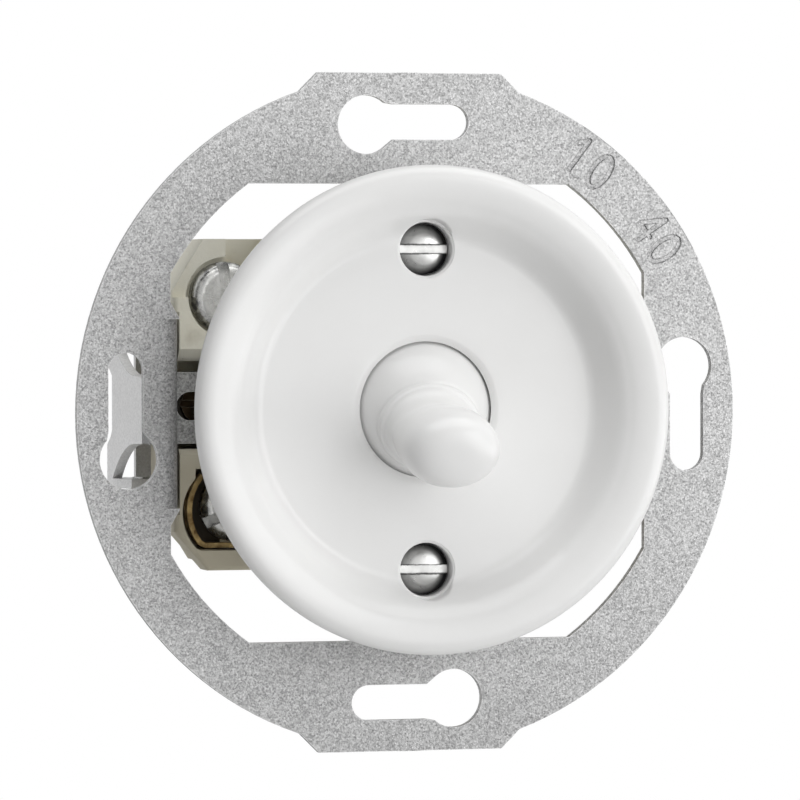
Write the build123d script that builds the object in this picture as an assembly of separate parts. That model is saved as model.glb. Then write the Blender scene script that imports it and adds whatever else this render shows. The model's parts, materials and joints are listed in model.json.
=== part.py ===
"""A flush lever switch: galvanised ring, ceramic insert, porcelain dish and lever, spreading claws.

Millimetres. X is to the right, Y goes back into the wall and Z is up.
The origin is the centre of the keyhole circle on the ring's back face.
"""
from build123d import *
from math import asin, atan2, cos, degrees, hypot, radians, sin, sqrt
import os

# Support ring: a pressed sheet with four keyholes, two ears and two legs bent back
sheet = 1.0
ring_rim = 3.275
ear_drop = 0.05
ear_half_width = 9.76
ear_foot_half_width = 12.3
window_radius = 29.13
window_half_width = 25.34
window_half_height = 23.6
slot_circle_radius = 30.0
slot_width = 3.65
slot_reach = 6.3
keyhole_radius = 3.03
keyhole_offset = 4.64
keyhole_inset = 0.3
keyhole_throat = 0.9
leg_half_height = 9.7
leg_face = 24.35
leg_corner_height = 11.4
leg_play = 0.3
leg_room_rise = 0.72
leg_depth = 5.2
bend_radius = 0.6
numeral_radius = 32.3
numeral_height = 3.7
numeral_width = 1.8
numeral_gap = 1.05
numeral_stroke = 0.5
numeral_depth = 0.18

# The insert sits this much above the ring's centre
lift = 0.42

# Yoke: the cross-shaped strap that carries the dish, the lever and the base
yoke_front = 1.0
yoke_sheet = 1.2
yoke_arm_half_width = 3.66
yoke_arm_rise = 0.15
yoke_reach_up = 19.4
yoke_centre_half_width = 8.0
yoke_centre_half_height = 7.0
yoke_window_half_height = 4.2
tongue_half_height = 2.0
tongue_reach = 1.3
tongue_play = 0.3
access_slot_outer = 24.32
access_slot_rise = 0.33
access_slot_length = 5.7
access_slot_width = 2.95

# Ceramic base
base_front = 0.6
flange_half_width = 24.6
flange_top = 17.5
flange_bottom = -16.6
flange_depth = 3.6
front_round = 0.5
top_corner_x = 21.25
top_corner_z = 12.1
bottom_corner_x = 21.1
bottom_corner_z = -12.6
middle_depth = 7.8
middle_bottom = -15.6
middle_corner_x = 19.9
middle_corner_z = -8.5
opening_wall_depth = 2.4
opening_wall_corner_x = 21.9
opening_wall_corner_z = -11.2
rear_half_width = 20.3
rear_depth = 8.5
rear_inset = 1.2
rear_corner = 3.3
step_drop = 1.2
channel_top = 4.95
channel_bottom = -4.07
channel_bevel = 1.25
channel_bevel_low = 0.6
channel_floor = 4.4
channel_half_length = 12.0
groove_depth = 5.0
pocket_inner = 23.4
pocket_floor = 11.4
entry_notch_outer = 18.9
entry_notch_inner = 14.9
entry_notch_floor = 4.0

# Porcelain dish, heights measured forward of the ring's front face
dish_radius = 24.85
dish_widest = 8.8
dish_crest_radius = 22.9
dish_crest = 10.75
dish_inner_edge_radius = 20.4
dish_inner_edge = 9.45
dish_floor_radius = 17.5
dish_floor = 6.4
dish_floor_thickness = 3.4
dish_foot_radius = 21.8
dish_foot_wall = 2.1
dish_foot_gap = 0.8
lip_width = 0.72
lip_drop = 0.26
spot_radius = 3.0
spot_draft = 0.45

# Cover screws
cover_screw_z = 16.4
cover_head_radius = 2.6
cover_head_clearance = 0.15
cover_head_sink = 0.35
cover_counterbore_depth = 2.4
cover_head_rim = 1.0
cover_head_dome = 0.9
cover_shank_radius = 1.25
cover_shank_clearance = 0.25
cover_boss_radius = 3.9
cover_screw_slot = 0.95
cover_screw_slot_depth = 1.0
cover_screw_past_yoke = 1.0

# Lever, measured along its own axis from the pivot
pivot_y = -1.5
lever_tilt = 13.7
ball_radius = 8.65
ball_gap = 0.25
ball_inner_radius = 6.25
skirt_angle = 68.0
collar_half_width = 5.25
collar_half_height = 4.5
collar_front = 7.9
collar_bead = 0.35
grip_root = 7.2
grip_length = 12.6
grip_root_inset = 0.3
grip_neck_extra = 0.12
grip_waist_share = 0.2
grip_belly_share = 0.6
grip_waist_half_width = 4.35
grip_waist_half_height = 3.05
grip_half_width = 5.05
grip_half_height = 3.95

# Hub, pin and tail behind the lever
pin_radius = 0.9
pin_play = 0.06
hub_radius = 2.3
hub_half_width = 4.2
ear_inner = 4.4
ear_sheet = 1.2
ear_round = 1.8
stem_radius = 1.5
stem_end = 13.0
tail_half_width = 1.4
tail_half_thickness = 0.9
tail_length = 10.0
drive_radius = 1.3
drive_distance = 8.3
drive_play = 0.1
nose_radius = 0.55
nose_length = 1.1

# Contact slider
slider_half_width = 9.0
slider_half_height = 3.5
slider_thickness = 2.0
slider_side_play = 0.15
slider_rib = 1.0
slider_slot_half_width = 1.75
cavity_half_height = 6.3

# Brass current path
bridge_half_width = 7.4
bridge_half_height = 0.9
bridge_thickness = 0.6
bridge_eye_half_width = 3.0
bridge_eye_half_height = 3.0
bridge_eye_slot = 1.95
rivet_x = 6.2
rivet_radius = 0.9
rivet_height = 0.6
contact_gap = 0.1
fixed_rivet_height = 0.5
strip_thickness = 0.8
strip_play = 0.2
strip_width = 2.4
strip_turn_x = 12.2

# Terminals
upper_terminal_x = 18.96
upper_terminal_z = 11.5
upper_recess_radius = 4.15
lower_terminal_x = 17.65
lower_terminal_z = -10.1
lower_head_sink = 1.4
terminal_head_radius = 3.65
terminal_head_height = 2.2
terminal_head_round = 1.2
terminal_slot = 1.2
terminal_slot_depth = 1.3
upper_slot_turn = 82.0
lower_slot_turn = -28.0
clamp_plate_half = 2.5
clamp_plate_thickness = 0.8
pillar_radius = 3.0
pillar_play = 0.15
pillar_wall = 0.6
terminal_shank_radius = 1.75
wire_radius = 1.5
wire_entry_radius = 1.7

# Bent brass strip in the lower terminal, and the opening round it
clamp_strip_thickness = 0.55
clamp_strip_front = 3.9
clamp_strip_depth = 1.7
clamp_strip_top_x = 21.05
clamp_strip_top_z = -7.05
clamp_strip_bulge_x = 22.3
clamp_strip_bulge_z = -10.3
clamp_strip_heel_x = 21.2
clamp_strip_heel_z = -13.85
clamp_strip_foot_x = 17.5
clamp_strip_foot_z = -14.15
opening_inner_x = 14.0
opening_top = -6.1
opening_bottom = -14.55
opening_shoulder_x = 22.4
opening_shoulder_z = -7.1
opening_bulge_x = 23.75
opening_bulge_z = -10.3
opening_heel_x = 22.3
opening_heel_z = -14.3
opening_floor_gap = 0.5

# Toggle spring
spring_wire = 0.45
spring_mean_radius = 1.53
spring_turns = 6
spring_start_gap = 1.0
seat_radius = 2.1
seat_thickness = 0.6
well_half_width = 2.3
well_half_height = 4.0
well_floor = 18.6

# Screws that hold the base to the yoke, put in from the back
yoke_screw_z = 10.9
yoke_screw_radius = 1.25
yoke_screw_head_radius = 2.4
yoke_screw_head_height = 1.6

# Spreading claws and their screws
claw_sheet = 1.0
claw_face = 25.9
claw_drop = 0.2
claw_front = 5.7
claw_nose_half = 3.45
claw_neck_half = 3.55
claw_flare_start = 9.0
claw_flare_end = 21.8
claw_half_height = 8.5
claw_window_front = 20.9
claw_window_top = 3.4
claw_window_bottom = -2.4
claw_window_knee = 0.7
claw_window_flare = 1.6
claw_guide_reach = 0.9
claw_guide_thickness = 0.5
claw_guide_front = 6.2
claw_guide_back = 9.5
claw_pivot_x = 24.2
claw_pivot_y = 18.4
claw_pin_radius = 1.0
claw_pin_play = 0.08
claw_pin_inner = 7.3
claw_lug_radius = 2.0
claw_lug_height = 2.15
claw_ear_play = 0.15
claw_ear_front = 16.6
claw_ear_slope = 1.2
claw_side_gap = 0.9
claw_crank_gap = 1.9
claw_crank_inner = 17.4
claw_crank_outer = 24.0
claw_screw_x = 20.8
claw_screw_z = 0.5
claw_screw_radius = 1.3
claw_screw_head_radius = 2.1
claw_screw_head_height = 1.6
claw_screw_head_play = 0.3
claw_screw_seat = 6.6
claw_screw_guide_play = 0.3
claw_screw_slot = 0.7
claw_screw_slot_depth = 0.7
claw_screw_tip = 1.6
claw_hole_play = 0.35
claw_hole_travel = 1.0

# Values that follow from the sizes above
ring_front = -sheet
ring_radius = slot_circle_radius + slot_width / 2 + ring_rim
ear_height = ring_radius - ear_drop
flange_back = base_front + flange_depth
middle_back = flange_back + middle_depth
base_back = middle_back + rear_depth
yoke_back = yoke_front + yoke_sheet
dish_floor_y = ring_front - dish_floor
dish_floor_back = dish_floor_y + dish_floor_thickness
seat_sphere = ball_radius + ball_gap
drive_travel = drive_distance * sin(radians(lever_tilt))
slider_middle_y = pivot_y + drive_distance
slider_front = slider_middle_y - slider_thickness / 2
slider_back = slider_middle_y + slider_thickness / 2
bridge_back = slider_back + bridge_thickness
strip_front = bridge_back + rivet_height + contact_gap + fixed_rivet_height
strip_back = strip_front + strip_thickness
throw_z = drive_travel
lower_head_front = base_front + lower_head_sink
lower_pillar_front = lower_head_front + terminal_head_height + clamp_plate_thickness
upper_pillar_front = base_front + terminal_head_height
clamp_strip_back = clamp_strip_front + clamp_strip_depth
claw_crank_front = base_back + claw_crank_gap


def plate(profile, front, back):
    """A solid with an outline drawn in X and Z, between two depths."""
    return extrude(Pos(0, back, 0) * (Plane.XZ * profile), back - front)


def rod(radius, front, back, x=0.0, z=0.0):
    """A round bar along Y."""
    return plate(Pos(x, z) * Circle(radius), front, back)


def block(x, y, z):
    """A box from its three ranges."""
    size = (x[1] - x[0], y[1] - y[0], z[1] - z[0])
    centre = ((x[0] + x[1]) / 2, (y[0] + y[1]) / 2, (z[0] + z[1]) / 2)
    return Pos(*centre) * Box(*size)


def outline(points):
    """A closed flat face through the points."""
    return make_face(Polyline(*points, close=True))


def mirrored(shape):
    return mirror(shape, Plane.YZ)


def both_sides(shape):
    return [shape, mirrored(shape)]


def along_lever(shape):
    """Puts what is drawn along +Z from the pivot onto the tilted lever axis."""
    return Pos(0, pivot_y, 0) * Rot(90 + lever_tilt, 0, 0) * shape


def stroke(start, end):
    """A rounded line of the numerals' stroke width."""
    length = hypot(end[0] - start[0], end[1] - start[1])
    angle = degrees(atan2(end[1] - start[1], end[0] - start[0]))
    middle = ((start[0] + end[0]) / 2, (start[1] + end[1]) / 2)
    return Pos(*middle) * Rot(0, 0, angle) * SlotCenterToCenter(length, numeral_stroke)


def numeral(digit):
    """A plain punched digit about its own centre."""
    top = numeral_height / 2
    side = numeral_width / 2
    if digit == "1":
        return stroke((0, -top), (0, top)) + stroke((0, top), (-side, top - side))
    if digit == "4":
        cross = -top / 3
        legs = stroke((side / 2, -top), (side / 2, top)) + stroke((side / 2, top), (-side, cross))
        return legs + stroke((-side, cross), (side, cross))
    ring = Ellipse(side + numeral_stroke / 2, top + numeral_stroke / 2)
    return ring - Ellipse(side - numeral_stroke / 2, top - numeral_stroke / 2)


def keyhole():
    """The top keyhole: a slot with a round entry at its left end."""
    slot_centre = (slot_reach - slot_width / 2 - keyhole_offset) / 2
    slot_length = slot_reach - slot_width / 2 + keyhole_offset
    slot = Pos(slot_centre, slot_circle_radius) * SlotCenterToCenter(slot_length, slot_width)
    round_z = slot_circle_radius - keyhole_inset
    entry = Pos(-keyhole_offset, round_z) * Circle(keyhole_radius)
    mouth_x = -keyhole_offset + sqrt(keyhole_radius ** 2 - (slot_width / 2 + keyhole_throat / 2) ** 2)
    half = slot_width / 2
    throat = outline([
        (mouth_x, round_z - half - keyhole_throat / 2),
        (mouth_x + keyhole_throat, slot_circle_radius - half),
        (mouth_x + keyhole_throat, slot_circle_radius + half),
        (mouth_x, round_z + half + keyhole_throat / 2),
    ])
    return slot + entry + throat


def ring_numerals():
    """Two plain two-digit numbers on the upper right of the ring."""
    marks = []
    for angle, digits in ((-37.0, "10"), (-56.0, "40")):
        step = numeral_width + numeral_gap
        for place, digit in zip((-step / 2, step / 2), digits):
            marks.append(Rot(0, 0, angle) * Pos(place, numeral_radius) * numeral(digit))
    return marks


def support_ring():
    ear_foot = ear_height - (ear_foot_half_width - ear_half_width)
    ear = outline([
        (-ear_foot_half_width, slot_circle_radius),
        (-ear_foot_half_width, ear_foot),
        (-ear_half_width, ear_height),
        (ear_half_width, ear_height),
        (ear_foot_half_width, ear_foot),
        (ear_foot_half_width, slot_circle_radius),
    ])
    ear -= Circle(window_radius)
    face = Circle(ring_radius) + ear + Rot(0, 0, 180) * ear
    window = Circle(window_radius) & Rectangle(2 * window_half_width, 2 * window_half_height)
    bend_start = leg_face + sheet + bend_radius
    face -= window
    face -= Rectangle(2 * bend_start, 2 * leg_half_height)
    for corner in both_sides(leg_corner(bend_start)):
        face += corner
        face += mirror(corner, Plane.XZ)
    for angle in (0, 90, 180, 270):
        face -= Rot(0, 0, angle) * keyhole()
    ring = plate(face, ring_front, 0)
    for mark in ring_numerals():
        ring -= plate(mark, ring_front, ring_front + numeral_depth)
    for leg in both_sides(ring_leg(bend_start)):
        ring += leg
    return ring


def leg_corner(bend_start):
    """The flat corner beside a leg, where the window's edge runs obliquely in to the bend."""
    return outline([
        (-window_half_width, leg_corner_height),
        (-leg_face, leg_half_height),
        (-bend_start, leg_half_height),
        (-bend_start, leg_corner_height),
    ])


def ring_leg(bend_start):
    """The left leg: the sheet turned back through a right angle, with the tongue's slot."""
    outer = sheet + bend_radius
    centre = (-bend_start, bend_radius)
    inner_turn = (centre[0] + bend_radius * sin(radians(45)), centre[1] - bend_radius * cos(radians(45)))
    outer_turn = (centre[0] + outer * sin(radians(45)), centre[1] - outer * cos(radians(45)))
    edge = [
        ThreePointArc((-bend_start, ring_front), outer_turn, (-leg_face, bend_radius)),
        Line((-leg_face, bend_radius), (-leg_face, leg_depth)),
        Line((-leg_face, leg_depth), (-leg_face - sheet, leg_depth)),
        Line((-leg_face - sheet, leg_depth), (-leg_face - sheet, bend_radius)),
        ThreePointArc((-leg_face - sheet, bend_radius), inner_turn, (-bend_start, 0)),
        Line((-bend_start, 0), (-bend_start, ring_front)),
    ]
    section = make_face(Curve() + edge)
    leg = Pos(0, 0, -leg_half_height) * extrude(section, 2 * leg_half_height)
    half = tongue_half_height + tongue_play
    slot = block(
        (-leg_face - 2 * sheet, -leg_face + sheet),
        (yoke_front, yoke_back),
        (lift + yoke_arm_rise - half, lift + yoke_arm_rise + half),
    )
    return leg - slot


def yoke_plate():
    arm = yoke_arm_half_width
    face = Pos(0, yoke_arm_rise) * Rectangle(2 * leg_face, 2 * arm)
    face += Rectangle(2 * arm, 2 * yoke_reach_up)
    face += Rectangle(2 * yoke_centre_half_width, 2 * yoke_centre_half_height)
    face += Pos(0, yoke_arm_rise) * Rectangle(2 * (leg_face + tongue_reach), 2 * tongue_half_height)
    face -= Rectangle(2 * ear_inner, 2 * yoke_window_half_height)
    slot_x = access_slot_outer - access_slot_length / 2
    for side in (-1, 1):
        face -= Pos(side * slot_x, access_slot_rise) * SlotOverall(access_slot_length, access_slot_width)
        face -= Pos(0, side * cover_screw_z) * Circle(cover_shank_radius)
        face -= Pos(0, side * yoke_screw_z) * Circle(yoke_screw_radius)
    yoke = plate(face, yoke_front, yoke_back)
    ear = block((ear_inner, ear_inner + ear_sheet), (pivot_y, yoke_front), (-ear_round, ear_round))
    tip = Pos(ear_inner + ear_sheet / 2, pivot_y, 0) * Rot(0, 90, 0) * Cylinder(ear_round, ear_sheet)
    for piece in both_sides(ear + tip):
        yoke += piece
    return yoke - pin_bar(2 * (ear_inner + 2 * ear_sheet), pin_radius)


def pin_bar(length, radius):
    """A round bar along X through the pivot."""
    return Pos(0, pivot_y, 0) * Rot(0, 90, 0) * Cylinder(radius, length)


def hinge_pin():
    return pin_bar(2 * (ear_inner + ear_sheet), pin_radius)


def base_outline(side, top, top_x, top_z, bottom, bottom_x, bottom_z):
    """An outline with straight sides and cut corners, the same on the left and the right."""
    return outline([
        (-top_x, top), (top_x, top), (side, top_z), (side, bottom_z),
        (bottom_x, bottom), (-bottom_x, bottom), (-side, bottom_z), (-side, top_z),
    ])


def base_body():
    """The block itself, in four steps from the front to the back."""
    wide = (flange_half_width, flange_top, top_corner_x, top_corner_z)
    front = plate(base_outline(*wide, flange_bottom, bottom_corner_x, bottom_corner_z), base_front, flange_back)
    front = fillet(front.edges().group_by(Axis.Y)[0], front_round)
    wall = base_outline(*wide, middle_bottom, opening_wall_corner_x, opening_wall_corner_z)
    middle = base_outline(*wide, middle_bottom, middle_corner_x, middle_corner_z)
    rear_x = rear_half_width - rear_corner
    rear_top = flange_top - rear_inset
    rear_bottom = middle_bottom + rear_inset
    rear = base_outline(rear_half_width, rear_top, rear_x, rear_top - rear_corner,
                        rear_bottom, rear_x, rear_bottom + rear_corner)
    body = front + plate(wall, flange_back, flange_back + opening_wall_depth)
    body += plate(middle, flange_back, middle_back)
    return body + plate(rear, middle_back, base_back)


def strip_outline(side, level, foot_x, foot_z):
    """One fixed contact: a pad at the rivet, an arm outwards and a foot under its pillar."""
    up = 1 if level > 0 else -1
    pad_far = up * (abs(level) + strip_width / 2)
    pad_near = up * (abs(level) - strip_width / 2)
    points = [
        (rivet_x - strip_width / 2, pad_near),
        (strip_turn_x, pad_near),
        (strip_turn_x, up * (abs(foot_z) - strip_width / 2)),
        (foot_x, up * (abs(foot_z) - strip_width / 2)),
        (foot_x, up * (abs(foot_z) + strip_width / 2)),
        (strip_turn_x - strip_width, up * (abs(foot_z) + strip_width / 2)),
        (strip_turn_x - strip_width, pad_far),
        (rivet_x - strip_width / 2, pad_far),
    ]
    face = outline(points)
    return face if side > 0 else mirror(face, Plane.YZ)


def strips():
    """The four fixed contacts with their names, sides and places."""
    rows = []
    for side, side_name in ((-1, "left"), (1, "right")):
        rows.append(("upper_" + side_name, side, throw_z, upper_terminal_x, upper_terminal_z))
        rows.append(("lower_" + side_name, side, -throw_z, lower_terminal_x, lower_terminal_z))
    return rows


def fixed_contact(side, level, foot_x, foot_z):
    strip = plate(strip_outline(side, level, foot_x, foot_z), strip_front, strip_back)
    foot = rod(pillar_radius, strip_front, strip_back, side * foot_x, foot_z)
    return strip + foot


def fixed_rivets():
    return [rod(rivet_radius, strip_front - fixed_rivet_height, strip_front, side * rivet_x, level)
            for name, side, level, foot_x, foot_z in strips()]


def clamp_strip_line():
    """The middle line of the bent brass strip in the lower left terminal: a bow, a heel and a foot."""
    bow = ThreePointArc((-clamp_strip_top_x, clamp_strip_top_z), (-clamp_strip_bulge_x, clamp_strip_bulge_z),
                        (-clamp_strip_heel_x, clamp_strip_heel_z))
    steps = 8
    on_bow = [bow @ (step / steps) for step in range(steps + 1)]
    points = [(point.X, point.Y) for point in on_bow]
    heel = clamp_strip_heel_x - clamp_strip_thickness
    return points + [(-heel, clamp_strip_foot_z), (-clamp_strip_foot_x, clamp_strip_foot_z)]


def ribbon(points, thickness):
    """A flat band of even thickness about a line of points."""
    band = Pos(*points[0]) * Circle(thickness / 2)
    for start, end in zip(points, points[1:]):
        length = hypot(end[0] - start[0], end[1] - start[1])
        angle = degrees(atan2(end[1] - start[1], end[0] - start[0]))
        middle = ((start[0] + end[0]) / 2, (start[1] + end[1]) / 2)
        band += Pos(*middle) * Rot(0, 0, angle) * SlotCenterToCenter(length, thickness)
    return band


def clamp_strip():
    return plate(ribbon(clamp_strip_line(), clamp_strip_thickness), clamp_strip_front, clamp_strip_back)


def lower_opening():
    """The opening of the lower left terminal, bowed outwards round the bent strip."""
    shoulder = (-opening_shoulder_x, opening_shoulder_z)
    heel = (-opening_heel_x, opening_heel_z)
    under = (-clamp_strip_heel_x - clamp_strip_thickness, opening_bottom)
    edge = [
        ThreePointArc(shoulder, (-opening_bulge_x, opening_bulge_z), heel),
        Line(heel, under),
        Line(under, (-opening_inner_x, opening_bottom)),
        Line((-opening_inner_x, opening_bottom), (-opening_inner_x, opening_top)),
        Line((-opening_inner_x, opening_top), (-opening_shoulder_x, opening_top)),
        Line((-opening_shoulder_x, opening_top), shoulder),
    ]
    return make_face(Curve() + edge)


def base_housing():
    base = base_body()
    for lug in claw_lugs():
        base += lug
    # channels for the yoke
    arm_channel = outline([
        (-flange_half_width, channel_bottom), (flange_half_width, channel_bottom),
        (flange_half_width, channel_top), (-flange_half_width, channel_top),
    ])
    base -= plate(arm_channel, base_front, yoke_back)
    wide = yoke_arm_half_width + 0.3
    base -= plate(Rectangle(2 * wide, 2 * flange_top), base_front, yoke_back)
    centre = Rectangle(2 * yoke_centre_half_width + 0.6, 2 * yoke_centre_half_height + 0.6)
    base -= plate(centre, base_front, yoke_back)
    base -= channel_edges()
    for side in both_sides(side_channel()):
        base -= side
    for room in both_sides(leg_room()):
        base -= room
    # the middle cavity, the spring's well and the current path
    cavity_half_width = slider_half_width + slider_side_play
    cavity = Rectangle(2 * cavity_half_width, 2 * cavity_half_height)
    base -= plate(cavity, base_front, strip_back)
    base -= plate(Rectangle(2 * well_half_width, 2 * well_half_height), strip_back, well_floor)
    for name, side, level, foot_x, foot_z in strips():
        path = offset(strip_outline(side, level, foot_x, foot_z), strip_play, kind=Kind.INTERSECTION)
        base -= plate(path, upper_pillar_front, strip_back)
    # terminals
    for side in (-1, 1):
        upper = (side * upper_terminal_x, upper_terminal_z)
        lower = (side * lower_terminal_x, lower_terminal_z)
        base -= rod(upper_recess_radius, base_front, upper_pillar_front, *upper)
        base -= rod(pillar_radius + pillar_play, upper_pillar_front, strip_back, *upper)
        base -= rod(pillar_radius + pillar_play, lower_pillar_front, strip_back, *lower)
        base -= wire_way(upper[0], upper_terminal_z, flange_top)
        base -= wire_way(lower[0], flange_bottom, lower_terminal_z)
    opening = plate(lower_opening(), base_front, clamp_strip_back + opening_floor_gap)
    for piece in both_sides(opening) + both_sides(entry_notch()):
        base -= piece
    base -= step_in_top()
    # screw holes
    for end in (-1, 1):
        tip = yoke_back + cover_screw_past_yoke + 0.5
        base -= rod(cover_shank_radius + cover_shank_clearance, yoke_back, tip, 0, end * cover_screw_z)
        base -= rod(yoke_screw_radius, yoke_back, base_back, 0, end * yoke_screw_z)
        base -= rod(yoke_screw_head_radius + 0.2, base_back - yoke_screw_head_height, base_back,
                    0, end * yoke_screw_z)
    guide = claw_screw_radius + claw_screw_guide_play
    head_room = claw_screw_head_radius + claw_screw_head_play
    for side in (-1, 1):
        base -= rod(guide, claw_screw_seat, base_back, side * claw_screw_x, claw_screw_z)
        base -= rod(head_room, channel_floor, claw_screw_seat, side * claw_screw_x, claw_screw_z)
    return base - claw_pin_bars(claw_pin_radius)


def channel_edges():
    """The bevels along the two long edges of the strap's channel."""
    upper = outline([(channel_top, base_front), (channel_top + channel_bevel, base_front),
                     (channel_top, base_front + channel_bevel)])
    lower = outline([(channel_bottom, base_front), (channel_bottom - channel_bevel_low, base_front),
                     (channel_bottom, base_front + channel_bevel_low)])
    bevels = []
    for face in (upper, lower):
        turned = Plane(origin=(-flange_half_width, 0, 0), x_dir=(0, 0, 1), z_dir=(-1, 0, 0)) * face
        bevels.append(extrude(turned, -2 * flange_half_width))
    return bevels


def side_channel():
    """The deeper left end of the strap's channel: dark grooves beside the strap and a pocket at the side."""
    ends = (-flange_half_width, -channel_half_length)
    room = block(ends, (yoke_back, channel_floor), (channel_bottom, channel_top))
    deep = (channel_floor, channel_floor + groove_depth)
    pocket = block((-flange_half_width, -pocket_inner), (channel_floor, pocket_floor),
                   (channel_bottom, channel_top))
    return room + [
        block(ends, deep, (yoke_arm_rise + yoke_arm_half_width, channel_top)),
        block(ends, deep, (channel_bottom, yoke_arm_rise - yoke_arm_half_width)),
        pocket,
    ]


def leg_room():
    """The notch in the base's left side that the ring's leg stands in."""
    half = leg_half_height + leg_room_rise
    return block((-flange_half_width - leg_play, -leg_face + leg_play), (base_front, leg_depth + leg_play),
                 (-half - lift, half - lift))


def entry_notch():
    """The notch in the top wall, over the hole for the upper left terminal's wire."""
    return block((-entry_notch_outer, -entry_notch_inner), (base_front, entry_notch_floor),
                 (upper_terminal_z, flange_top + 1))


def step_in_top():
    """The lowered faces above the upper terminals."""
    cuts = []
    for side in (-1, 1):
        near = side * (yoke_arm_half_width + 6.0)
        far = side * (flange_half_width + 1.0)
        cuts.append(block(sorted((near, far)), (base_front, base_front + step_drop),
                          (upper_terminal_z, flange_top + 1.0)))
    return cuts


def wire_way(x, low, high):
    """The hole that a wire takes through the base's wall to a pillar."""
    y = wire_y(high > 0)
    height = high - low
    return Pos(x, y, low + height / 2) * Cylinder(wire_entry_radius, height)


def wire_y(upper):
    """The depth of the wire's bore in a pillar."""
    front = upper_pillar_front if upper else lower_pillar_front
    return (front + terminal_shank_reach(upper) + strip_front) / 2


def terminal_shank_reach(upper):
    """How far a terminal screw reaches into its pillar with the clamp open."""
    front = upper_pillar_front if upper else lower_pillar_front
    return strip_front - front - 2 * wire_radius - 2 * pillar_wall


def pillar(x, z, upper):
    front = upper_pillar_front if upper else lower_pillar_front
    body = rod(pillar_radius, front, strip_front, x, z)
    body -= rod(terminal_shank_radius, front, front + terminal_shank_reach(upper), x, z)
    middle = strip_front - pillar_wall - wire_radius
    return body - Pos(x, middle, z) * Cylinder(wire_radius, 2 * pillar_radius + 1)


def terminal_screw(x, z, upper):
    radius = terminal_head_radius
    front = base_front if upper else lower_head_front
    under = front + terminal_head_height
    head = rod(radius, front, under, x, z)
    head = fillet(head.edges().group_by(Axis.Y)[0], terminal_head_round)
    pillar_front = upper_pillar_front if upper else lower_pillar_front
    shank = rod(terminal_shank_radius, under, pillar_front + terminal_shank_reach(upper), x, z)
    slot = block((-radius - 1, radius + 1), (front - 1, front + terminal_slot_depth),
                 (-terminal_slot / 2, terminal_slot / 2))
    turn = upper_slot_turn if upper else lower_slot_turn
    return head + shank - Pos(x, 0, z) * Rot(0, turn, 0) * slot


def clamp_plate():
    """The washer in the lower left terminal, a square with its corners taken off."""
    front = lower_head_front + terminal_head_height
    face = Rectangle(2 * clamp_plate_half, 2 * clamp_plate_half) & Circle(pillar_radius)
    face -= Circle(terminal_shank_radius)
    placed = Pos(-lower_terminal_x, lower_terminal_z) * face
    return plate(placed, front, front + clamp_plate_thickness)


def dish_point(radius, height):
    """A point of the dish's section: radius, and height forward of the ring."""
    return (radius, ring_front - height)


def porcelain_cover():
    lip_outer = sqrt(seat_sphere ** 2 - (pivot_y - dish_floor_y - lip_drop) ** 2)
    lip_y = dish_floor_y + lip_drop
    back_radius = sqrt(seat_sphere ** 2 - (dish_floor_back - pivot_y) ** 2)
    middle_angle = (asin(lip_outer / seat_sphere) + asin(back_radius / seat_sphere)) / 2
    seat_middle = (seat_sphere * sin(middle_angle), pivot_y - seat_sphere * cos(middle_angle))
    lip_start = (lip_outer + lip_width, dish_floor_y)
    lip_middle = (lip_outer + 0.3 * lip_width, dish_floor_y + 0.3 * lip_drop)
    foot_y = base_front - dish_foot_gap
    floor_end = (dish_floor_radius, dish_floor_y)
    under = dish_point(dish_radius - 1.1, dish_floor + 0.2)
    rim = Spline(
        floor_end,
        dish_point(dish_floor_radius + 1.0, dish_floor + 0.65),
        dish_point((dish_floor_radius + dish_inner_edge_radius) / 2 + 0.45, (dish_floor + dish_inner_edge) / 2),
        dish_point(dish_inner_edge_radius, dish_inner_edge),
        dish_point(dish_crest_radius, dish_crest),
        dish_point(dish_radius - 0.45, dish_widest + 1.05),
        dish_point(dish_radius, dish_widest),
        under,
        tangents=((1, 0), (-0.35, 1)),
    )
    inner_foot = dish_foot_radius - dish_foot_wall
    edge = [
        ThreePointArc((lip_outer, lip_y), lip_middle, lip_start),
        Line(lip_start, floor_end),
        rim,
        Line(under, (dish_foot_radius, foot_y)),
        Line((dish_foot_radius, foot_y), (inner_foot, foot_y)),
        Line((inner_foot, foot_y), (inner_foot, dish_floor_back)),
        Line((inner_foot, dish_floor_back), (back_radius, dish_floor_back)),
        ThreePointArc((back_radius, dish_floor_back), seat_middle, (lip_outer, lip_y)),
    ]
    cover = revolve(make_face(Curve() + edge), Axis.Y)
    head_room = cover_head_radius + cover_head_clearance
    for end in (-1, 1):
        z = end * cover_screw_z
        cover += rod(cover_boss_radius, dish_floor_back, yoke_front, 0, z)
        spot_top = dish_inner_edge - dish_floor
        spot = Pos(0, dish_floor_y - spot_top / 2, z) * Rot(90, 0, 0) * Cone(
            spot_radius, spot_radius + spot_draft, spot_top)
        cover -= spot
        cover -= rod(head_room, dish_floor_y - 1, dish_floor_y + cover_counterbore_depth, 0, z)
        cover -= rod(cover_shank_radius + cover_shank_clearance, dish_floor_y, yoke_front, 0, z)
    return cover


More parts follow.
